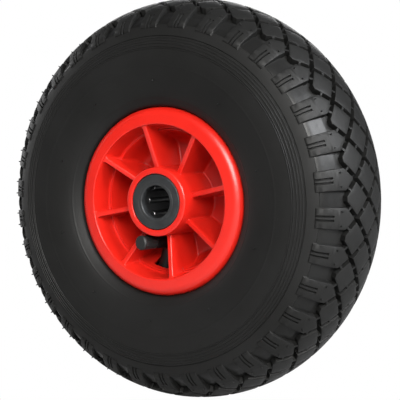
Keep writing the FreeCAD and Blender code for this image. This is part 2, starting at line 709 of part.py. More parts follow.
# ------------------------------------------------------------------ check and write
doc.recompute()
for o in doc.Objects:
    bad = [w for w in o.State if w in ("Invalid", "Error")]
    if bad:
        raise RuntimeError("%s is in state %s" % (o.Label, ", ".join(o.State)))
for label, o in nodes.items():
    if o.Shape.isNull() or not o.Shape.isValid() or len(o.Shape.Solids) != 1:
        raise RuntimeError("%s has no valid single solid" % label)
    if o.Label != label:
        raise RuntimeError("%s is labelled %s" % (label, o.Label))
for label, o in nodes.items():
    o.Shape.exportStep(os.path.join("parts", label + ".step"))
    bb = o.Shape.BoundBox
    print("%-16s vol %10.1f faces %5d  x %.2f..%.2f y %.2f..%.2f z %.2f..%.2f" % (
        label, o.Shape.Volume, len(o.Shape.Faces), bb.XMin, bb.XMax, bb.YMin, bb.YMax, bb.ZMin, bb.ZMax))
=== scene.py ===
import math
import bmesh
import bpy
import numpy as np
from mathutils import Matrix, Vector
from mathutils.geometry import delaunay_2d_cdt


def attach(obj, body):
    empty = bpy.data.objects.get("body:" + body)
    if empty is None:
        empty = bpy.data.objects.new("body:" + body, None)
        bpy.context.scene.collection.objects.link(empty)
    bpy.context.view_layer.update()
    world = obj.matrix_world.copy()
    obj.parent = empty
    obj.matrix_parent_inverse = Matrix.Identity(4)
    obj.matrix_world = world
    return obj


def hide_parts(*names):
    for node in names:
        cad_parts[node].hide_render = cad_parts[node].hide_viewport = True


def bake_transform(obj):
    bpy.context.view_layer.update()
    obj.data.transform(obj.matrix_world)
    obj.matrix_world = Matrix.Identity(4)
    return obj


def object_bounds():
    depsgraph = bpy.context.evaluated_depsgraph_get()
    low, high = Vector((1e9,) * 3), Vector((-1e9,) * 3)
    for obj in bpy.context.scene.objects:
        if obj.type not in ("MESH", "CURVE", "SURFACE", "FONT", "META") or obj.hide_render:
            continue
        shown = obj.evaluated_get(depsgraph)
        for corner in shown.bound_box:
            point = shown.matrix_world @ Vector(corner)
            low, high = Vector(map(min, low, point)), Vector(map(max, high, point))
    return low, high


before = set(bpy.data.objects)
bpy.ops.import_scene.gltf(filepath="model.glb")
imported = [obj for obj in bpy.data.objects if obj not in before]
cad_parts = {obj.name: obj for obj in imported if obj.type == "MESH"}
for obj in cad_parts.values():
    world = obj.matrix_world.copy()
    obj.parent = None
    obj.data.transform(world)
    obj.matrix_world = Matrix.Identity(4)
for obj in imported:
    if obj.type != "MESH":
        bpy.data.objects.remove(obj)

# Pneumatic sack truck wheel. Shapes are worked out in millimetres and written in metres.
# Axle along Y, valve side towards -Y, +Z up.

cad_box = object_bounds()
scene = bpy.context.scene
MM = 0.001


# ------------------------------------------------------------------ helpers
def turn_outwards(bm):
    """Reverses every closed shell whose faces point inwards."""
    bm.faces.index_update()
    seen_faces = set()
    for seed in bm.faces:
        if seed.index in seen_faces:
            continue
        seen_faces.add(seed.index)
        shell, stack, volume = [], [seed], 0.0
        while stack:
            f = stack.pop()
            shell.append(f)
            co = [v.co for v in f.verts]
            for b, c in zip(co[1:], co[2:]):
                volume += co[0].dot(b.cross(c))
            for e in f.edges:
                for g in e.link_faces:
                    if g.index not in seen_faces:
                        seen_faces.add(g.index)
                        stack.append(g)
        if volume < 0.0:
            bmesh.ops.reverse_faces(bm, faces=shell)


def mesh_object(name, points, faces, mat, sharp=30.0, weld=0.002, shine=None):
    """Closed mesh from points in millimetres; close points are welded and the faces turned outwards."""
    me = bpy.data.meshes.new(name)
    me.from_pydata([(float(p[0]) * MM, float(p[1]) * MM, float(p[2]) * MM) for p in points], [], faces)
    if shine is not None:
        attr = me.attributes.new("shine", "FLOAT", "POINT")
        attr.data.foreach_set("value", list(shine) + [0.0] * (len(points) - len(shine)))
    bm = bmesh.new()
    bm.from_mesh(me)
    bmesh.ops.remove_doubles(bm, verts=bm.verts, dist=weld * MM)
    bmesh.ops.dissolve_degenerate(bm, edges=bm.edges, dist=1e-7)
    bmesh.ops.recalc_face_normals(bm, faces=bm.faces)
    turn_outwards(bm)
    bm.to_mesh(me)
    open_edges = sum(1 for e in bm.edges if not e.is_manifold)
    bm.free()
    print("%-14s %7d faces, %d open edges" % (name, len(me.polygons), open_edges))
    me.polygons.foreach_set("use_smooth", [True] * len(me.polygons))
    me.set_sharp_from_angle(angle=math.radians(sharp))
    me.materials.append(mat)
    ob = bpy.data.objects.new(name, me)
    scene.collection.objects.link(ob)
    return ob


def ring_faces(a, b):
    """Quads between two rings of point numbers."""
    n = len(a)
    return [(a[i], a[(i + 1) % n], b[(i + 1) % n], b[i]) for i in range(n)]


def lathe(profile, angles):
    """Closed profile of (radius, y) turned round the Y axis."""
    points, rows = [], []
    for r, y in profile:
        if r < 1e-6:
            rows.append([len(points)] * len(angles))
            points.append((0.0, y, 0.0))
        else:
            rows.append(list(range(len(points), len(points) + len(angles))))
            points += [(r * math.cos(a), y, r * math.sin(a)) for a in angles]
    faces = []
    for i in range(len(rows)):
        for f in ring_faces(rows[i], rows[(i + 1) % len(rows)]):
            f = tuple(dict.fromkeys(f))
            if len(f) > 2:
                faces.append(f)
    return points, faces


def turn(n, start=0.0):
    return [start + 2.0 * math.pi * i / n for i in range(n)]


def bend(centre, radius, a0, a1, n):
    """Arc points of a profile, angles in degrees."""
    return [(centre[0] + radius * math.cos(math.radians(a0 + (a1 - a0) * i / n)),
             centre[1] + radius * math.sin(math.radians(a0 + (a1 - a0) * i / n))) for i in range(n + 1)]


# ------------------------------------------------------------------ materials
def link(tree, a, b):
    tree.links.new(a, b)


def noise(tree, where, scale, detail=3.0, rough=0.5, stretch=None):
    n = tree.nodes.new("ShaderNodeTexNoise")
    n.inputs["Scale"].default_value = scale
    n.inputs["Detail"].default_value = detail
    n.inputs["Roughness"].default_value = rough
    if stretch:
        m = tree.nodes.new("ShaderNodeMapping")
        m.inputs["Scale"].default_value = stretch
        link(tree, where, m.inputs["Vector"])
        where = m.outputs["Vector"]
    link(tree, where, n.inputs["Vector"])
    return n.outputs["Fac"]


def span(tree, value, a, b, c, d):
    m = tree.nodes.new("ShaderNodeMapRange")
    m.inputs["From Min"].default_value = a
    m.inputs["From Max"].default_value = b
    m.inputs["To Min"].default_value = c
    m.inputs["To Max"].default_value = d
    link(tree, value, m.inputs["Value"])
    return m.outputs["Result"]


def blend_colour(tree, fac, a, b):
    m = tree.nodes.new("ShaderNodeMix")
    m.data_type = "RGBA"
    for s, v in ((m.inputs[6], a), (m.inputs[7], b)):
        if isinstance(v, tuple):
            s.default_value = (*v, 1.0)
        else:
            link(tree, v, s)
    link(tree, fac, m.inputs[0])
    return m.outputs[2]


def bump(tree, height, strength, distance, after=None):
    b = tree.nodes.new("ShaderNodeBump")
    b.inputs["Strength"].default_value = strength
    b.inputs["Distance"].default_value = distance
    link(tree, height, b.inputs["Height"])
    if after is not None:
        link(tree, after, b.inputs["Normal"])
    return b.outputs["Normal"]


def surface(name, dark, light, rough, grain, patch=40.0, metal=0.0, level=0.5, bumps=(), coat=0.0, coat_rough=0.1):
    """Plastic, rubber or metal: two tones mixed by soft patches, uneven gloss and fine relief.
    rough is (low, high); grain is the scale of the fine noise; bumps is a list of (scale, strength, distance)."""
    mat = bpy.data.materials.new(name)
    mat.use_nodes = True
    t = mat.node_tree
    shader = t.nodes["Principled BSDF"]
    where = t.nodes.new("ShaderNodeTexCoord").outputs["Object"]
    soft = noise(t, where, patch, 4.0, 0.6)
    link(t, blend_colour(t, span(t, soft, 0.3, 0.7, 0.0, 1.0), dark, light), shader.inputs["Base Color"])
    fine = noise(t, where, grain, 3.0, 0.6)
    link(t, span(t, fine, 0.25, 0.75, rough[0], rough[1]), shader.inputs["Roughness"])
    shader.inputs["Metallic"].default_value = metal
    shader.inputs["Specular IOR Level"].default_value = level
    if coat:
        shader.inputs["Coat Weight"].default_value = coat
        shader.inputs["Coat Roughness"].default_value = coat_rough
    after = None
    for scale, strength, distance in bumps:
        after = bump(t, noise(t, where, scale, 3.0, 0.55), strength, distance, after)
    if after is not None:
        link(t, after, shader.inputs["Normal"])
    return mat


rubber = surface("tyre_rubber", (0.0050, 0.0050, 0.0047), (0.0085, 0.0085, 0.0083), (0.46, 0.60), 900.0, 22.0,
                 level=0.20, bumps=((260.0, 0.10, 0.0006), (1500.0, 0.10, 0.00018)))
# the floors of the tread's pockets come smoother out of the mould than the ground faces
rt = rubber.node_tree
rs = rt.nodes["Principled BSDF"]
was = rs.inputs["Roughness"].links[0].from_socket
shiny = rt.nodes.new("ShaderNodeAttribute")
shiny.attribute_name = "shine"
less = rt.nodes.new("ShaderNodeMath")
less.operation = "MULTIPLY_ADD"
less.inputs[1].default_value = -0.20
link(rt, shiny.outputs["Fac"], less.inputs[0])
link(rt, was, less.inputs[2])
link(rt, less.outputs[0], rs.inputs["Roughness"])
red = surface("red_plastic", (0.52, 0.0105, 0.0055), (0.58, 0.0140, 0.0075), (0.28, 0.37), 400.0, 30.0,
              level=0.5, bumps=((120.0, 0.03, 0.0004),))
black = surface("black_plastic", (0.009, 0.0098, 0.0105), (0.022, 0.0235, 0.025), (0.38, 0.58), 700.0, 160.0,
                level=0.5, bumps=((420.0, 0.35, 0.00035), (1400.0, 0.25, 0.00012)))
valve_rubber = surface("valve_rubber", (0.004, 0.004, 0.004), (0.007, 0.007, 0.007), (0.42, 0.56), 900.0, 90.0,
                       level=0.3, bumps=((700.0, 0.2, 0.0002),))
cap_plastic = surface("cap_plastic", (0.0052, 0.0058, 0.0058), (0.0085, 0.0092, 0.0092), (0.50, 0.62), 900.0, 120.0,
                      bumps=((900.0, 0.15, 0.00015),))
butyl = surface("butyl", (0.012, 0.012, 0.012), (0.022, 0.021, 0.020), (0.45, 0.6), 600.0, 60.0,
                bumps=((500.0, 0.2, 0.0003),))
steel = surface("zinc_steel", (0.46, 0.47, 0.48), (0.60, 0.61, 0.62), (0.24, 0.36), 800.0, 60.0, metal=1.0,
                bumps=((1200.0, 0.06, 0.0001),))
# roller steel is far darker than bare steel: partly grease on the rollers, partly painted shade for the dark inside of
# the bore
roller_steel = surface("roller_steel", (0.10, 0.10, 0.10), (0.18, 0.18, 0.18), (0.26, 0.36), 900.0, 80.0, metal=1.0,
                       bumps=((1500.0, 0.04, 0.0001),))
cage_plastic = surface("cage_plastic", (0.004, 0.004, 0.0043), (0.008, 0.008, 0.0085), (0.44, 0.56), 700.0, 90.0,
                       bumps=((900.0, 0.15, 0.00015),))
brass = surface("valve_brass", (0.55, 0.36, 0.13), (0.68, 0.46, 0.18), (0.24, 0.36), 900.0, 90.0, metal=1.0,
                bumps=((1500.0, 0.06, 0.00008),))
core_brass = surface("core_brass", (0.58, 0.40, 0.16), (0.72, 0.52, 0.22), (0.22, 0.32), 1200.0, 120.0, metal=1.0,
                     bumps=((1800.0, 0.05, 0.00006),))
seal_white = surface("seal_white", (0.60, 0.58, 0.53), (0.72, 0.70, 0.66), (0.42, 0.55), 900.0, 150.0,
                     bumps=((1500.0, 0.1, 0.00006),))
seal_rubber = surface("seal_rubber", (0.014, 0.014, 0.014), (0.024, 0.023, 0.022), (0.45, 0.6), 900.0, 150.0,
                      bumps=((1500.0, 0.1, 0.00006),))
spring_steel = surface("spring_steel", (0.42, 0.42, 0.43), (0.58, 0.58, 0.6), (0.22, 0.32), 1500.0, 150.0, metal=1.0,
                       bumps=((2000.0, 0.04, 0.00004),))

# ------------------------------------------------------------------ tyre
REPEATS = 34
HALF = math.pi / REPEATS
PHASE = math.radians(2.3) + HALF          # middle of the first shoulder lug
LIFT = -0.06
PLAN = 12.0                               # width that one half repeat takes in the flat plan
TREAD_END = 49.6                          # the tread's plan runs from the crown's middle to here
STEP = 0.05


def tyre_outline():
    """Outside of one half from the crown's middle to the bead: places every 0.05 mm, eased at its corners."""
    a1 = math.asin(31.0 / 48.0)
    corner = (82.0 + 48.0 * math.cos(a1), 31.0)
    runs = []

    def arc(cx, cy, r, a, b):
        n = max(2, int(abs(b - a) * r / STEP))
        runs.extend((cx + r * math.cos(a + (b - a) * i / n), cy + r * math.sin(a + (b - a) * i / n)) for i in range(n))

    def seg(p, q):
        n = max(2, int(math.dist(p, q) / STEP))
        runs.extend((p[0] + (q[0] - p[0]) * i / n, p[1] + (q[1] - p[1]) * i / n) for i in range(n))

    arc(82.0, 0.0, 48.0, 0.0, a1)
    seg(corner, (112.0, 37.2))
    (ax, ay), (bx, by), (cx, cy) = (112.0, 37.2), (90.0, 42.5), (66.0, 38.3)
    d = 2 * (ax * (by - cy) + bx * (cy - ay) + cx * (ay - by))
    ux = ((ax * ax + ay * ay) * (by - cy) + (bx * bx + by * by) * (cy - ay) + (cx * cx + cy * cy) * (ay - by)) / d
    uy = ((ax * ax + ay * ay) * (cx - bx) + (bx * bx + by * by) * (ax - cx) + (cx * cx + cy * cy) * (bx - ax)) / d
    r = math.hypot(ax - ux, ay - uy)
    arc(ux, uy, r, math.atan2(ay - uy, ax - ux), math.atan2(cy - uy, cx - ux))
    seg((66.0, 38.3), (60.4, 34.3))
    seg((60.4, 34.3), (59.45, 32.6))
    seg((59.45, 32.6), (59.45, 31.5))
    runs.append((59.45, 31.5))
    p = np.array(runs)
    t = np.r_[0, np.cumsum(np.hypot(*np.diff(p, axis=0).T))]
    # running mean, wider on the sidewall than at the crease in the shoulder
    half = np.interp(t, [0, 36, 40, 88, 95, 98.5, t[-1]], [0, 0, 2.4, 2.4, 1.6, 0.5, 0])
    total = np.vstack([[0, 0], np.cumsum(p, axis=0)])
    n = np.clip((half / STEP).astype(int), 0, None)
    i = np.arange(len(p))
    n = np.minimum(n, np.minimum(i, len(p) - 1 - i))
    p = (total[i + n + 1] - total[i - n]) / (2 * n + 1)[:, None]
    g = np.gradient(p, axis=0)
    normal = np.c_[g[:, 1], -g[:, 0]]
    k = np.ones(31) / 31
    pad = np.pad(normal, ((15, 15), (0, 0)), mode="edge")
    normal = np.c_[np.convolve(pad[:, 0], k, "valid"), np.convolve(pad[:, 1], k, "valid")]
    normal[0] = (1.0, 0.0)
    normal /= np.linalg.norm(normal, axis=1)[:, None]
    return t, p + normal * LIFT, normal


OUT_T, OUT_P, OUT_N = tyre_outline()
OUT_END = OUT_T[-1]


def on_outline(along, height=0.0):
    """Radius and half width at that length from the crown's middle, raised along the outline's normal."""
    r = np.interp(along, OUT_T, OUT_P[:, 0]) + np.interp(along, OUT_T, OUT_N[:, 0]) * height
    y = np.interp(along, OUT_T, OUT_P[:, 1]) + np.interp(along, OUT_T, OUT_N[:, 1]) * height
    return r, y


def half_repeat(along):
    return float(np.interp(along, OUT_T, OUT_P[:, 0])) * HALF


def slope(p, q):
    """Line through two plan places (along, share of the half repeat): signed distance in mm as (a, b, c)
    with plan X = along and plan Y = share * PLAN, positive to the left of the direction."""
    w = half_repeat((p[0] + q[0]) / 2.0)
    dx, dw = q[0] - p[0], (q[1] - p[1]) * w
    n = math.hypot(dx, dw)
    a, b = -dw / n, dx / n * w / PLAN
    return (a, b, -(a * p[0] + b * p[1] * PLAN))


def flip(l):
    return (-l[0], -l[1], -l[2])


def moved(l, by):
    return (l[0], l[1], l[2] + by)


GROOVE = 1.4
G1 = slope((0.0, 0.0), (10.8, 1.0))
G2 = slope((10.8, 1.0), (21.2, 0.0))
G3 = slope((21.2, 0.0), (31.6, 1.0))
LUG = 2.95 / math.degrees(HALF)
W_LUG = half_repeat(40.0)
W_SLIT = half_repeat(42.5)
lug_side = (0.0, -W_LUG / PLAN, LUG * W_LUG)
BLOCKS = [
    [moved(G1, -GROOVE)],
    [moved(flip(G1), -GROOVE), moved(flip(G2), -GROOVE)],
    [moved(G2, -GROOVE), moved(G3, -GROOVE), (-1.0, 0.0, 28.4)],
    [moved(flip(G3), -GROOVE), lug_side, (-1.0, 0.0, 47.4)],
]
SLIT = [(1.0, 0.0, -36.6), (-1.0, 0.0, 47.9), (0.0, W_SLIT / PLAN, -0.55), (0.0, -W_SLIT / PLAN, 1.75)]
NUB = (32.0, 4.0 / half_repeat(32.0) * PLAN)
FLOOR_X = [0.0, 31.7, 32.1, 36.0, 39.1, 45.15, 45.5, 60.0]
FLOOR_H = [-4.0, -4.0, -3.05, -2.72, -2.1, -1.45, -0.55, -0.6]


def depth_in(lines, x, y):
    return np.min([a * x + b * y + c for a, b, c in lines], axis=0)


def bar_places():
    """Tie bars: middle, direction along the groove and normal, in the groove's own millimetres."""
    out = []
    for p, q in (((0.0, 0.0), (10.8, 1.0)), ((10.8, 1.0), (21.2, 0.0)), ((21.2, 0.0), (31.6, 1.0))):
        w = half_repeat((p[0] + q[0]) / 2.0)
        m = ((p[0] + q[0]) / 2.0, (p[1] + q[1]) / 2.0 * w)
        d = np.array([q[0] - p[0], (q[1] - p[1]) * w])
        d /= np.linalg.norm(d)
        out.append((m, d, np.array([-d[1], d[0]]), w))
    return out


BARS = bar_places()


def relief(x, y):
    """Height over the outline, in mm, at plan places x, y."""
    h = np.interp(x, FLOOR_X, FLOOR_H)
    for lines in BLOCKS:
        d = depth_in(lines, x, y)
        top = np.interp(d, [-0.36, -0.02, 0.06, 0.28], [-4.0, -0.34, -0.10, 0.0])
        h = np.where(d > -0.3601, np.maximum(h, top), h)
    for m, e, n, w in BARS:
        px, py = x - m[0], y / PLAN * w - m[1]
        a, g = np.abs(px * e[0] + py * e[1]), np.abs(px * n[0] + py * n[1])
        bar = np.interp(a, [0.62, 0.82], [-0.5, -4.0])
        h = np.where((g < 1.5) & (a < 0.8201), np.maximum(h, bar), h)
    d = depth_in(SLIT, x, y)
    h = np.where(d > 1e-6, np.minimum(h, np.interp(d, [0.0, 0.45], [0.0, -1.2])), h)
    r = np.hypot(x - NUB[0], (y - NUB[1]) * half_repeat(32.0) / PLAN)
    return h + np.interp(r, [0.0, 0.28, 0.5], [1.25, 1.05, 0.0])


def clipped(lines, inset):
    """Plan polygon where every line's distance is at least inset, inside the tread's plan."""
    poly = [(0.0, 0.0), (TREAD_END, 0.0), (TREAD_END, PLAN), (0.0, PLAN)]
    for a, b, c in lines:
        c -= inset
        out = []
        for i in range(len(poly)):
            p, q = poly[i], poly[(i + 1) % len(poly)]
            dp, dq = a * p[0] + b * p[1] + c, a * q[0] + b * q[1] + c
            if dp >= 0:
                out.append(p)
            if (dp >= 0) != (dq >= 0):
                k = dp / (dp - dq)
                out.append((p[0] + (q[0] - p[0]) * k, p[1] + (q[1] - p[1]) * k))
        poly = out
        if not poly:
            break
    return poly


def tread_plan():
    """Triangles of one half repeat, from the crown's middle outwards, in the flat plan."""
    pts, edges = [], []

    def add(p):
        pts.append((float(p[0]), float(p[1])))
        return len(pts) - 1

    def chain(places, closed=False):
        ids = [add(p) for p in places]
        for i in range(len(ids) - (0 if closed else 1)):
            edges.append((ids[i], ids[(i + 1) % len(ids)]))

    def split(p, q, most=3.0):
        n = max(1, int(math.ceil(math.dist(p, q) / most)))
        return [(p[0] + (q[0] - p[0]) * i / n, p[1] + (q[1] - p[1]) * i / n) for i in range(n + 1)]

    def on_edge(p, q):
        for k, lim in ((0, (0.0, TREAD_END)), (1, (0.0, PLAN))):
            for v in lim:
                if abs(p[k] - v) < 1e-7 and abs(q[k] - v) < 1e-7:
                    return True
        return False

    for lines in BLOCKS:
        for inset in (0.28, 0.06, -0.02, -0.36):
            poly = clipped(lines, inset)
            for i in range(len(poly)):
                p, q = poly[i], poly[(i + 1) % len(poly)]
                if not on_edge(p, q):
                    chain(split(p, q, 4.0))
    for inset in (0.0, 0.45):
        chain(clipped(SLIT, inset), True)
    for m, e, n, w in BARS:
        for a in (-0.82, -0.62, 0.62, 0.82):
            ends = []
            for g in (-1.38, 1.38):
                q = (m[0] + e[0] * a + n[0] * g, (m[1] + e[1] * a + n[1] * g) / w * PLAN)
                ends.append(q)
            chain(ends)
    k = PLAN / half_repeat(32.0)
    for r, n in ((0.5, 8), (0.28, 6)):
        chain([(NUB[0] + r * math.cos(2 * math.pi * i / n), NUB[1] + r * k * math.sin(2 * math.pi * i / n))
               for i in range(n)], True)
    add(NUB)
    side = LUG * PLAN
    foot = side + 0.36 * PLAN / W_LUG
    for x in (31.7, 32.1, 36.0, 39.1, 45.15, 45.5):
        chain(split((x, foot), (x, PLAN), 4.0))
    for x in (40.6, 42.0, 43.4, 44.4):
        chain(split((x, foot), (x, PLAN), 4.0))
    for x in (33.3, 34.1, 36.2, 38.2, 40.2, 41.6, 43.0, 44.4, 46.0):
        inner = side - 0.28 * PLAN / W_LUG
        chain([(x, 0.0), (x, inner)])
    for x in np.arange(2.6, TREAD_END - 1.5, 2.6):
        add((x, 0.0))
        add((x, PLAN))
    for y in np.arange(2.4, PLAN - 1.0, 2.4):
        add((0.0, y))
    for i in range(4):
        add((0.0 + TREAD_END, PLAN * i / 3.0))
    for i in range(2):
        add((0.0, PLAN * i))
    breaks = [31.7, 32.1, 33.3, 34.1, 36.1, 38.2, 39.1, 45.15, 45.5, 40.4, 41.8, 43.2, 44.4, 46.0]
    row = 0
    for x in np.arange(2.2, TREAD_END - 0.8, 2.5):
        row += 1
        for y in np.arange(1.6 + (row % 2) * 1.3, PLAN - 1.0, 2.6):
            ds = [abs(float(depth_in(lines, x, y))) for lines in BLOCKS]
            if min(ds) < 0.95 or abs(float(depth_in(SLIT, x, y))) < 0.7 or float(depth_in(SLIT, x, y)) > 0:
                continue
            if math.dist((x, y), NUB) < 1.3 or (x > 31 and min(abs(x - b) for b in breaks) < 0.55):
                continue
            if max(float(depth_in(lines, x, y)) for lines in BLOCKS) < 0 and x < 31.7:
                continue
            add((x, y))
    vs, es, fs = delaunay_2d_cdt([Vector(p) for p in pts], edges, [], 0, 1e-5)[:3]
    plan = np.array([(v.x, v.y) for v in vs])
    tris = [tuple(f) for f in fs if len(f) == 3]
    # keep the ones that are inside the plan and have an area
    good = []
    for f in tris:
        a, b, c = plan[f[0]], plan[f[1]], plan[f[2]]
        if abs((b[0] - a[0]) * (c[1] - a[1]) - (b[1] - a[1]) * (c[0] - a[0])) > 1e-9:
            good.append(f)
    plan[:, 0] = np.clip(plan[:, 0], 0.0, TREAD_END)
    plan[:, 1] = np.clip(plan[:, 1], 0.0, PLAN)
    return plan, good


def side_height(s):
    """Relief of the sidewall at s mm from the rim's lip."""
    h = np.interp(s, [0, 43.0, 44.75, 45.05, 45.35, 45.7, 49.5], [0, 0, 0, -0.95, -0.95, -0.6, -0.6])
    for c in (37.4, 38.5, 40.4, 42.2, 43.9):
        h = h + np.interp(np.abs(s - c), [0.0, 0.12, 0.34], [0.30, 0.27, 0.0])
    for c, up in ((27.0, 0.09), (7.4, 0.10)):
        h = h + np.interp(np.abs(s - c), [0.0, 0.2, 0.5], [up, up * 0.9, 0.0])
    return h + np.interp(s, [0.0, 1.2, 5.0, 6.4], [0.0, 0.12, 0.12, 0.0])


def build_tyre():
    plan, tris = tread_plan()
    h = relief(plan[:, 0], plan[:, 1])
    r, y = on_outline(plan[:, 0], h)
    share = plan[:, 1] / PLAN * HALF
    pts, faces = [], []
    lug = depth_in(BLOCKS[3], plan[:, 0], plan[:, 1])
    floor_part = (plan[:, 0] > 32.0) & (plan[:, 0] < 45.3) & (lug < -0.3)
    sheen = []
    tri = np.array(tris)
    for k in range(REPEATS):
        for m in (1, -1):
            th = PHASE + 2 * HALF * k + m * share
            for side in (1, -1):
                base = len(pts)
                pts.extend(np.c_[r * np.cos(th), side * y, r * np.sin(th)])
                sheen.extend(floor_part.astype(float))
                faces.extend(map(tuple, tri + base))
    print("tread plan", len(plan), "places", len(tris), "triangles, all", len(faces))
    n = REPEATS * 6
    angles = [PHASE + HALF / 3.0 * i for i in range(n)]
    along = [TREAD_END, 50.6]
    s = 98.5 - 51.8
    places = [45.9, 45.7, 45.35, 45.05, 44.75, 44.45]
    for c in (43.9, 42.2, 40.4, 38.5, 37.4):
        places += [c + 0.34, c + 0.12, c - 0.12, c - 0.34]
    places += [35.4, 33.4, 31.4, 29.4, 28.2, 27.5, 27.2, 26.8, 26.5, 25.0, 23.0, 21.0, 19.0, 17.0, 15.0, 13.0, 11.2,
               9.4, 8.4, 7.9, 7.6, 7.2, 6.9, 6.4, 5.6, 4.6, 3.6, 2.6, 1.8, 1.2, 0.6, 0.0, -0.5, -1.0, -1.6, -2.2]
    along += [98.5 - v for v in sorted(places, reverse=True) if 98.5 - v > 50.8]
    along = [a for a in along if a < OUT_END - 0.05] + [OUT_END]
    outer = []
    for a in along:
        hh = float(side_height(98.5 - a)) if a > TREAD_END + 0.01 else float(relief(np.array([TREAD_END]), np.array([3.0]))[0])
        rr, yy = on_outline(a, hh)
        outer.append((float(rr), float(yy)))
    outer += bend((57.53, 31.4), 1.92, 0, -90, 4)[1:]
    outer += [(55.0, 29.45), (52.2, 29.45), (51.6, 29.1), (51.1, 24.5), (50.75, 20.2), (51.2, 19.2)]
    inner = [(52.4, 18.7), (57.0, 20.6), (61.5, 26.6), (66.0, 32.2), (72.0, 35.6), (81.0, 38.1), (90.0, 38.8),
             (100.0, 37.9), (107.5, 34.6), (114.0, 27.6), (118.6, 17.5), (121.0, 7.5)]
    rows = outer + inner
    chain = rows + [(a, -b) for a, b in reversed(rows)]
    ids = []
    for a, b in chain:
        ids.append(list(range(len(pts), len(pts) + n)))
        pts.extend((a * math.cos(t), b, a * math.sin(t)) for t in angles)
    for i in range(len(ids) - 1):
        faces.extend(ring_faces(ids[i], ids[i + 1]))
    # vent pips on the sidewall
    rng = np.random.RandomState(7)
    for side in (-1, 1):
        for k in range(30):
            th = math.radians(-31.0 + 12.0 * k + (rng.rand() - 0.5) * 5.0)
            along_k = 98.5 - (35.6, 17.5, 28.6)[k % 3] - (rng.rand() - 0.5)
            base = len(pts)
            rings = ((0.62, -0.25), (0.56, 0.35), (0.44, 0.85), (0.22, 1.1))
            for rad, up in rings:
                for j in range(8):
                    q = 2 * math.pi * j / 8
                    rr, yy = on_outline(along_k + rad * math.cos(q), up)
                    a = th + rad * math.sin(q) / float(rr)
                    yy = min(float(yy), 42.49)
                    pts.append((float(rr) * math.cos(a), side * yy, float(rr) * math.sin(a)))
            for i in range(3):
                faces.extend(ring_faces([base + 8 * i + j for j in range(8)], [base + 8 * i + 8 + j for j in range(8)]))
            faces.append(tuple(base + j for j in range(8)))
            faces.append(tuple(base + 24 + j for j in range(8)))
    return mesh_object("tyre_moulding", pts, faces, rubber, sharp=26.0, shine=sheen)


tyre = build_tyre()
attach(tyre, "wheel")
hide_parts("tyre")

# ------------------------------------------------------------------ rim
RIBS = 8
RIB_PHASE = math.radians(11.9)


def rib_front(r):
    return 28.0 + (r - 18.22) * 7.5 / 30.88


def hub_wall(d):
    return 21.5 + 0.5 * (37.5 - d) / 35.6


def first_wall(d):
    """Inner wall below the lip: straight, easing outwards to the lip's edge."""
    return 47.3 + (d - 22.2) * 1.2 / 14.0


def rim_levels():
    """One entry a level, from the rib's front edge to the web: depth under the rib's front (or None), hub (radius,
    depth), outer wall (radius, depth), rib side's distance from the rib's middle."""
    lv = []
    for d, off in ((0.95, 0.0), (1.14, 0.045), (1.32, 0.16), (1.45, 0.34), (1.5, 0.58)):
        lv.append((off, None, None, d))
    outer = [(25.0, 47.55), (22.5, 47.45), (21.7, 47.25), (21.2, 46.85), (21.1, 46.3), (21.45, 45.85),
             (21.75, 45.55), (21.7, 45.2), (21.3, 44.95), (15.5, 44.35), (11.0, 43.55), (7.6, 42.45), (5.0, 40.95),
             (3.3, 39.3), (2.35, 37.7), (1.95, 36.4), (1.9, 35.6)]
    hub_d = [24.0, 21.5, 21.0, 20.5, 20.0, 19.0, 18.6, 18.2, 17.8, 12.5, 7.5, 3.2, 2.62, 2.13, 1.94, 1.9, 1.9]
    extra = [0, 0, 0, 0, 0, 0, 0, 0, 0, 0, 0, 0, 0.1, 0.46, 0.86, 1.36, 1.76]
    for (do, ro), dh, e in zip(outer, hub_d, extra):
        side = 1.5 + 0.012 * (27.5 - dh) + e
        lv.append((None, (hub_wall(dh) + e, dh), (ro, do), side))
    return lv


def pocket_half(level):
    """Plan contour of half a pocket from its middle at the hub, past the rib's side, to its middle at the outer wall.
    Returns (distance along the rib, distance from the rib's middle, depth) places."""
    off, hub, wall, d = level
    mid = math.pi / RIBS
    if off is None:
        (rh, dh), (ro, do) = hub, wall
    else:
        rh = hub_wall(rib_front(21.2) - off)
        ro = first_wall(rib_front(48.4) - off)
    fill_h = max(0.35, 1.35 - max(0.0, d - 1.8))
    fill_o = max(0.35, 1.6 - max(0.0, d - 1.8))
    a = math.sqrt((rh + fill_h) ** 2 - (d + fill_h) ** 2)
    k = rh / (rh + fill_h)
    t_hub = (a * k, (d + fill_h) * k)
    b = math.sqrt((ro - fill_o) ** 2 - (d + fill_o) ** 2)
    k = ro / (ro - fill_o)
    t_out = (b * k, (d + fill_o) * k)
    out = []
    a0 = math.atan2(t_hub[1], t_hub[0])
    for i in range(6):
        q = mid + (a0 - mid) * i / 6
        out.append((rh * math.cos(q), rh * math.sin(q), 0))
    q0 = math.atan2(t_hub[1] - d - fill_h, t_hub[0] - a)
    q1 = -math.pi / 2
    if q0 > 0:
        q0 -= 2 * math.pi
    for i in range(5):
        q = q0 + (q1 - q0) * i / 4
        out.append((a + fill_h * math.cos(q), d + fill_h + fill_h * math.sin(q), 0))
    for i in (1, 2, 3):
        out.append((a + (b - a) * i / 4, d, 0.25 * i))
    q0 = -math.pi / 2
    q1 = math.atan2(t_out[1] - d - fill_o, t_out[0] - b)
    for i in range(5):
        q = q0 + (q1 - q0) * i / 4
        out.append((b + fill_o * math.cos(q), d + fill_o + fill_o * math.sin(q), 1))
    a1 = math.atan2(t_out[1], t_out[0])
    for i in range(1, 15):
        q = a1 + (mid - a1) * i / 14
        out.append((ro * math.cos(q), ro * math.sin(q), 1))
    res = []
    for x, y, where in out:
        if off is None:
            depth = dh + (do - dh) * where
        else:
            depth = rib_front(math.hypot(x, y)) - off
        res.append((x, y, depth))
    return res


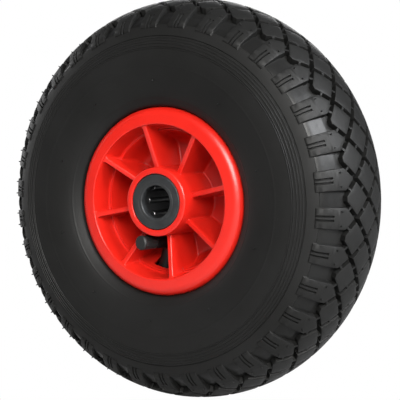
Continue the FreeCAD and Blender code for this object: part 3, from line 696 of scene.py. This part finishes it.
def build_rim():
    pts, faces = [], []

    def put(plan_x, plan_y, depth, turn_by, side):
        c, s = math.cos(turn_by), math.sin(turn_by)
        pts.append((plan_x * c - plan_y * s, side * depth, plan_x * s + plan_y * c))
        return len(pts) - 1

    levels = rim_levels()
    halves = [pocket_half(lv) for lv in levels]
    n_half = len(halves[0])
    n_hub, n_corner = 6, 5                     # places on the hub before its fillet, places of a fillet
    i_hub_end = n_hub                          # first place of the fillet lies on the hub
    i_out = n_hub + n_corner + 3 + n_corner - 1  # last place of the outer fillet lies on the outer wall
    pitch = 2 * math.pi / RIBS
    for side in (-1, 1):
        for k in range(RIBS):
            rib_at = RIB_PHASE + k * pitch
            loops = []
            for half in halves:
                left = [put(x, y, d, rib_at, side) for x, y, d in half]
                # the other half, mirrored about the pocket's middle, back to the hub
                right = [put(x, -y, d, rib_at + pitch, side) for x, y, d in half]
                loops.append(left + right[::-1][1:-1])
            for a, b in zip(loops, loops[1:]):
                faces.extend(ring_faces(a, b))
            faces.append(tuple(loops[-1]))
            # rib front, between this pocket and the one before it
            top = halves[0]
            rows = []
            m = 4
            for x, y, d in top[i_hub_end:i_out + 1]:
                rad = math.hypot(x, y)
                row = []
                for j in range(m + 1):
                    yy = y * (2.0 * j / m - 1.0)
                    row.append(put(math.sqrt(rad * rad - yy * yy), yy, d, rib_at, side))
                rows.append(row)
            for r0, r1 in zip(rows, rows[1:]):
                for j in range(m):
                    faces.append((r0[j], r0[j + 1], r1[j + 1], r1[j]))
    # angles shared by the rings on the hub and on the outer wall
    top = halves[0]

    def ring_angles(first, last, end_place):
        base = [math.atan2(y, x) for x, y, d in top[first:last]]
        x, y, d = top[end_place]
        rad = math.hypot(x, y)
        cross = [math.asin(y * (2.0 * j / 4 - 1.0) / rad) for j in range(5)]
        one = sorted(set(round(v, 12) for v in cross + [v for v in base if v > cross[-1] + 1e-9]
                         + [pitch - v for v in base if v > cross[-1] + 1e-9 and v < pitch / 2 - 1e-9]))
        return [RIB_PHASE + k * pitch + v for k in range(RIBS) for v in one]

    hub_angles = ring_angles(0, i_hub_end + 1, i_hub_end)
    out_angles = ring_angles(i_out, n_half, i_out)
    r_hub, d_hub = math.hypot(*top[0][:2]), top[0][2]
    r_out, d_out = math.hypot(*top[-1][:2]), top[-1][2]
    hub_rows = [(r_hub, d_hub), (hub_wall(28.95), 28.95), (hub_wall(32.5), 32.5), (21.52, 36.4)]
    hub_rows += bend((20.42, 36.4), 1.1, 0, 90, 7)[1:]
    hub_rows += [(18.9, 37.5), (18.05, 37.5), (17.85, 37.43), (17.71, 37.25), (17.67, 37.0), (17.65, 35.4), (17.65, 33.3),
                 (16.22, 33.3)]
    out_rows = [(r_out, d_out), (48.5, 36.15), (48.56, 36.36), (48.72, 36.53), (48.95, 36.6), (49.5, 36.6),
                (51.0, 36.57), (52.3, 36.46)]
    out_rows += [(53.3 + 6.0 * math.sin(q), 30.9 + 5.5 * math.cos(q)) for q in np.linspace(0.03, math.pi / 2, 15)]
    out_rows += bend((57.9, 30.95), 1.4, 0, -90, 4)
    out_rows += [(55.0, 29.6), (52.0, 29.6), (51.5, 29.5), (51.35, 29.1), (50.62, 19.2), (50.5, 18.9), (48.3, 16.7),
                 (47.9, 16.4), (47.9, 8.0)]
    for rows, angles in ((hub_rows, hub_angles), (out_rows, out_angles)):
        chain = [(r, -d) for r, d in rows] + [(r, d) for r, d in reversed(rows)]
        ids = []
        for r, y in chain:
            ids.append(list(range(len(pts), len(pts) + len(angles))))
            pts.extend((r * math.cos(t), y, r * math.sin(t)) for t in angles)
        for a, b in zip(ids, ids[1:]):
            faces.extend(ring_faces(a, b))
    return mesh_object("rim_moulding", pts, faces, red, sharp=34.0, weld=0.004)


rim = build_rim()


def slot_block(outline, r0, r1):
    """Block across the well wall at the valve: outline places are (across, along the axle) and corner radius."""
    a = math.radians(-102.9)
    out = Vector((math.cos(a), 0.0, math.sin(a)))
    across = Vector((-math.sin(a), 0.0, math.cos(a)))
    along = Vector((0.0, 1.0, 0.0))
    ring = []
    n = len(outline)
    for i, (x, y, rad) in enumerate(outline):
        here = Vector((x, y))
        before = (Vector(outline[i - 1][:2]) - here).normalized()
        after = (Vector(outline[(i + 1) % n][:2]) - here).normalized()
        half = math.acos(max(-1.0, min(1.0, before.dot(after)))) / 2
        centre = here + (before + after).normalized() * (rad / math.sin(half))
        p0 = here + before * (rad / math.tan(half)) - centre
        p1 = here + after * (rad / math.tan(half)) - centre
        for k in range(5):
            w = (p0 * (1 - k / 4) + p1 * (k / 4)).normalized() * rad + centre
            ring.append((w.x, w.y))
    pts, faces = [], []
    for r in (r0, r1):
        for x, y in ring:
            p = out * r + across * x + along * y
            pts.append((p.x, p.y, p.z))
    n = len(ring)
    faces.append(tuple(range(n)))
    faces.append(tuple(range(n, 2 * n)))
    faces += ring_faces(list(range(n)), list(range(n, 2 * n)))
    return mesh_object("slot_block", pts, faces, red)


def wall_hollow():
    """Curved space behind the slot that leaves the well wall thin around it."""
    pts, faces = [], []
    turns = [math.radians(-102.9 + 58.0 * i / 28 - 42.0) for i in range(29)]
    ids = []
    for r, y in ((45.9, -17.4), (49.6, -17.4), (49.6, 12.0), (44.7, 12.0), (44.7, -9.0), (45.9, -13.5)):
        ids.append(list(range(len(pts), len(pts) + len(turns))))
        pts += [(r * math.cos(t), y, r * math.sin(t)) for t in turns]
    for a, b in zip(ids, ids[1:] + ids[:1]):
        for i in range(len(turns) - 1):
            faces.append((a[i], a[i + 1], b[i + 1], b[i]))
    faces.append(tuple(a[0] for a in ids))
    faces.append(tuple(a[-1] for a in ids))
    return mesh_object("wall_hollow", pts, faces, red)


cutters = [slot_block([(-4.9, -16.5, 1.2), (5.6, -16.5, 1.2), (8.0, -2.4, 1.5), (-8.4, -2.4, 1.5)], 38.4, 46.4),
           slot_block([(-7.8, -5.0, 1.2), (7.4, -5.0, 1.2), (7.4, 3.0, 1.2), (-7.8, 3.0, 1.2)], 41.6, 46.6),
           wall_hollow()]
for cutter in cutters:
    cut = rim.modifiers.new("slot", "BOOLEAN")
    cut.operation = "DIFFERENCE"
    cut.solver = "MANIFOLD"
    cut.object = cutter
bpy.context.view_layer.update()
cut_mesh = bpy.data.meshes.new_from_object(rim.evaluated_get(bpy.context.evaluated_depsgraph_get()))
rim.modifiers.clear()
old = rim.data
rim.data = cut_mesh
rim.data.name = "rim_moulding"
bpy.data.meshes.remove(old)
for cutter in cutters:
    bpy.data.objects.remove(cutter)
rim.data.polygons.foreach_set("use_smooth", [True] * len(rim.data.polygons))
rim.data.set_sharp_from_angle(angle=math.radians(34.0))
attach(rim, "wheel")
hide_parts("rim")

# ------------------------------------------------------------------ hub end rings
for sgn, name in ((-1, "front"), (1, "rear")):
    prof = [(10.3, 33.3), (10.3, 36.75), (10.34, 36.9), (10.72, 37.24), (10.9, 37.3), (12.35, 37.3), (12.5, 37.27),
            (12.6, 37.18), (12.7, 37.27), (12.85, 37.3), (16.6, 37.3), (16.92, 37.24), (17.16, 37.06), (17.25, 36.8),
            (17.27, 36.0), (17.27, 33.5), (17.1, 33.3)]
    points, quads = lathe([(r, sgn * y) for r, y in prof], turn(128))
    ring = mesh_object("end_ring_" + name + "_turned", points, quads, black, sharp=40.0)
    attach(ring, "wheel")
    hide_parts("end_ring_" + name)

# ------------------------------------------------------------------ valve insert with its thread
elbow = Vector((-6.6, -8.3, -26.9))
cap_end = Vector((-11.1, -38.0, -26.2))
foot_a = math.radians(-104.0)
stem_foot = Vector((45.0 * math.cos(foot_a), -8.0, 45.0 * math.sin(foot_a)))
run = (cap_end - elbow).normalized()
up = elbow - stem_foot
up = (up - run * up.dot(run)).normalized()
side_v = up.cross(run)


def on_valve(x, r, a):
    p = elbow + run * x + side_v * (r * math.cos(a)) + up * (r * math.sin(a))
    return (p.x, p.y, p.z)


def build_insert():
    n = 48
    lead = 0.794
    rows = [[(6.0, 1.3)] * n, [(6.0, 2.7)] * n, [(18.3, 2.7)] * n, [(18.32, 3.3)] * n]
    for i in range(106):
        x = 18.42 + 8.3 * i / 105
        row = []
        for j in range(n):
            ph = ((x / lead) - j / n) % 1.0
            cutd = 0.40 * max(0.0, 1.0 - abs(ph - 0.5) * 2.6)
            ease = min(1.0, (x - 18.4) / 0.5, (26.75 - x) / 0.35)
            row.append((x, 3.85 - max(0.0, ease) * cutd - 0.25 * (1 - min(1.0, (x - 18.4) / 0.2))))
        rows.append(row)
    rows += [[(26.95, 3.7)] * n, [(27.2, 3.42)] * n, [(27.2, 2.75)] * n, [(27.1, 2.65)] * n, [(19.0, 2.65)] * n,
             [(15.0, 2.1)] * n, [(9.0, 2.1)] * n, [(9.0, 1.3)] * n]
    pts, ids = [], []
    for row in rows:
        ids.append(list(range(len(pts), len(pts) + n)))
        pts += [on_valve(x, r, 2 * math.pi * j / n) for j, (x, r) in enumerate(row)]
    faces = []
    for i in range(len(ids)):
        faces += ring_faces(ids[i], ids[(i + 1) % len(ids)])
    return mesh_object("valve_insert_threaded", pts, faces, brass, sharp=35.0, weld=0.0005)


insert = build_insert()
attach(insert, "wheel")
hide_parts("valve_insert")

# ------------------------------------------------------------------ core spring: one end on the pin's collar, one on the floor
spring_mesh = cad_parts["core_spring"].data.copy()
spring_mesh.name = "core_spring_coil"
spring_mesh.materials.clear()
spring_mesh.materials.append(spring_steel)
spring = bpy.data.objects.new("core_spring_coil", spring_mesh)
scene.collection.objects.link(spring)
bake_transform(spring)
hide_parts("core_spring")

# ------------------------------------------------------------------ the other pieces keep their shape
finish_of = {"inner_tube": butyl, "bearing_sleeve": steel, "roller_cage": cage_plastic, "valve_stem": valve_rubber,
             "valve_cap": cap_plastic, "core_body": core_brass, "core_seal": seal_white, "core_pin": core_brass,
             "core_cup_seal": seal_rubber, "core_spring": spring_steel, "valve_insert": brass, "rim": red,
             "tyre": rubber, "end_ring_front": black, "end_ring_rear": black}
for k in range(8):
    finish_of["roller_%d" % (k + 1)] = roller_steel
for name, mat in finish_of.items():
    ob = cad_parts[name]
    ob.data.materials.clear()
    ob.data.materials.append(mat)

# ------------------------------------------------------------------ camera, as the photograph's
az, el, roll, pan, tilt = (math.radians(v) for v in (31.03961, 3.305142, -0.0248189, 0.92872, -0.0656405))
dist, focal = 558.961249, 846.130053
back = Vector((math.sin(az) * math.cos(el), -math.cos(az) * math.cos(el), math.sin(el)))
fwd = -back
right = fwd.cross(Vector((0, 0, 1))).normalized()
upv = right.cross(fwd)
r2 = right * math.cos(roll) + upv * math.sin(roll)
u2 = -right * math.sin(roll) + upv * math.cos(roll)
f1 = fwd * math.cos(pan) + r2 * math.sin(pan)
r1 = -fwd * math.sin(pan) + r2 * math.cos(pan)
f2 = f1 * math.cos(tilt) + u2 * math.sin(tilt)
u3 = -f1 * math.sin(tilt) + u2 * math.cos(tilt)
cam_data = bpy.data.cameras.new("camera")
cam_data.sensor_fit = "HORIZONTAL"
cam_data.sensor_width = 36.0
cam_data.lens = focal * 36.0 / 400.0
cam_data.clip_start = 0.01
cam_data.clip_end = 50.0
cam = bpy.data.objects.new("camera", cam_data)
scene.collection.objects.link(cam)
place = back * dist * MM
cam.matrix_world = Matrix((
    (r1.x, u3.x, -f2.x, place.x), (r1.y, u3.y, -f2.y, place.y), (r1.z, u3.z, -f2.z, place.z), (0, 0, 0, 1)))
scene.camera = cam

# ------------------------------------------------------------------ studio
scene.view_settings.view_transform = "Standard"
scene.view_settings.look = "None"
floor_mat = surface("studio_floor", (0.34, 0.34, 0.34), (0.38, 0.38, 0.38), (0.7, 0.8), 30.0, 2.0)
ft = floor_mat.node_tree
white = ft.nodes.new("ShaderNodeEmission")
white.inputs["Color"].default_value = (1.0, 1.0, 1.0, 1.0)
white.inputs["Strength"].default_value = 1.0
ray = ft.nodes.new("ShaderNodeLightPath")
pick = ft.nodes.new("ShaderNodeMixShader")
link(ft, ray.outputs["Is Camera Ray"], pick.inputs[0])
link(ft, ft.nodes["Principled BSDF"].outputs[0], pick.inputs[1])
link(ft, white.outputs[0], pick.inputs[2])
link(ft, pick.outputs[0], ft.nodes["Material Output"].inputs["Surface"])
floor_me = bpy.data.meshes.new("studio_floor")
z0 = cad_box[0][2] - 0.0004
floor_me.from_pydata([(-9, -9, z0), (9, -9, z0), (9, 9, z0), (-9, 9, z0)], [], [(0, 1, 2, 3)])
floor_me.materials.append(floor_mat)
floor = bpy.data.objects.new("studio_floor", floor_me)
scene.collection.objects.link(floor)


def area(name, where, size, power, aim=(0.0, 0.0, 0.0), colour=(1.0, 1.0, 1.0)):
    d = bpy.data.lights.new(name, "AREA")
    d.shape = "RECTANGLE"
    d.size, d.size_y = size
    d.energy = power
    d.color = colour
    o = bpy.data.objects.new(name, d)
    o.location = where
    o.rotation_euler = (Vector(aim) - Vector(where)).to_track_quat("-Z", "Y").to_euler()
    scene.collection.objects.link(o)
    return o


key = Vector((0.84, -0.20, 0.51)).normalized() * 1.3
area("key", key, (0.55, 0.55), 25.0, colour=(0.95, 0.97, 1.0))
front = Vector((0.54, -0.73, 0.42)).normalized() * 1.6
area("front", front, (0.8, 0.7), 40.0, colour=(1.0, 0.985, 0.95))
side = Vector((0.92, 0.22, 0.25)).normalized() * 1.5
area("side", side, (1.3, 1.5), 8.5, colour=(0.93, 0.96, 1.0))
left = Vector((-0.97, 0.0, 0.10)).normalized() * 1.5
area("left", left, (1.0, 1.4), 13.0)
rear = Vector((-0.42, 0.86, 0.28)).normalized() * 1.8
area("rear", rear, (1.2, 1.2), 26.0)

world = bpy.data.worlds.new("studio")
scene.world = world
world.use_nodes = True
t = world.node_tree
for nd in list(t.nodes):
    t.nodes.remove(nd)
out = t.nodes.new("ShaderNodeOutputWorld")
seen = t.nodes.new("ShaderNodeBackground")
seen.inputs["Color"].default_value = (1.0, 1.0, 1.0, 1.0)
seen.inputs["Strength"].default_value = 1.0
lit = t.nodes.new("ShaderNodeBackground")
direction = t.nodes.new("ShaderNodeTexCoord").outputs["Generated"]
parts = t.nodes.new("ShaderNodeSeparateXYZ")
link(t, direction, parts.inputs[0])
behind = span(t, parts.outputs["Y"], -0.2, 0.5, 0.0, 1.0)
link(t, blend_colour(t, behind, (0.09, 0.09, 0.095), (0.26, 0.265, 0.28)), lit.inputs["Color"])
lit.inputs["Strength"].default_value = 0.7
path = t.nodes.new("ShaderNodeLightPath")
mix = t.nodes.new("ShaderNodeMixShader")
link(t, path.outputs["Is Camera Ray"], mix.inputs[0])
link(t, lit.outputs[0], mix.inputs[1])
link(t, seen.outputs[0], mix.inputs[2])
link(t, mix.outputs[0], out.inputs["Surface"])
